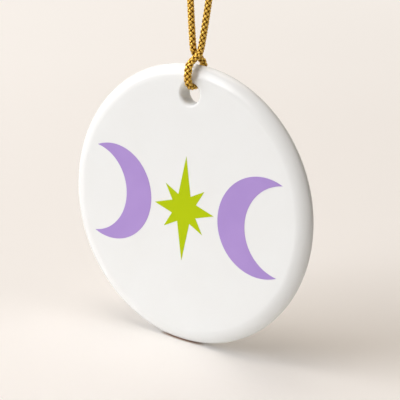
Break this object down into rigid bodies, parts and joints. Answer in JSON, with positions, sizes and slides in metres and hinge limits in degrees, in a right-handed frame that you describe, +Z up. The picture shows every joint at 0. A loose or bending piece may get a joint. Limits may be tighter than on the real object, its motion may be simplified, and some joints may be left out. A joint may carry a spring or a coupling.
{
  "type": "hanging ornament",
  "caption": "Flat round ornament of white glazed ceramic with a printed star between lavender crescents, hung from a knotted gold cord through a hole near its rim.",
  "frame": {"origin": "the point inside the hanging loop, just under its knot, where a hook holds it", "axes": "+Z up along the taut cord, -Y out of the printed face, +X to the right of who looks at that face"},
  "size_m": [0.073, 0.0086, 0.1073],
  "materials": {
    "white_glaze": "gloss",
    "lavender_print": "gloss",
    "lime_print": "gloss",
    "gold_cord": "knitted metallic yarn"
  },
  "bodies": {
    "hanging_cord": {"cord_strand_left": "gold_cord", "cord_strand_right": "gold_cord", "cord_end_knot": "gold_cord", "cord_tail_left": "gold_cord", "cord_tail_right": "gold_cord"},
    "cord_crossing": {"cord_crossing_front": "gold_cord", "cord_crossing_back": "gold_cord"},
    "hole_loop": {"cord_hole_loop": "gold_cord"},
    "ornament": {"ceramic_disc": "white_glaze", "left_crescent_print": "lavender_print", "right_crescent_print": "lavender_print", "star_print": "lime_print"}
  },
  "joints": [
    {"name": "cord_twist", "type": "hinge", "parent": "hanging_cord", "child": "cord_crossing", "pos_m": [0, 0, -0.0197], "axis": [0, 0, 1], "range_deg": [-180, 180]},
    {"name": "disc_tilt", "type": "hinge", "parent": "cord_crossing", "child": "hole_loop", "pos_m": [0, 0, -0.0197], "axis": [1, 0, 0], "range_deg": [-35, 35]},
    {"name": "disc_rock", "type": "hinge", "parent": "hole_loop", "child": "ornament", "pos_m": [0, 0, -0.0277], "axis": [0, 1, 0], "range_deg": [-20, 20]}
  ]
}
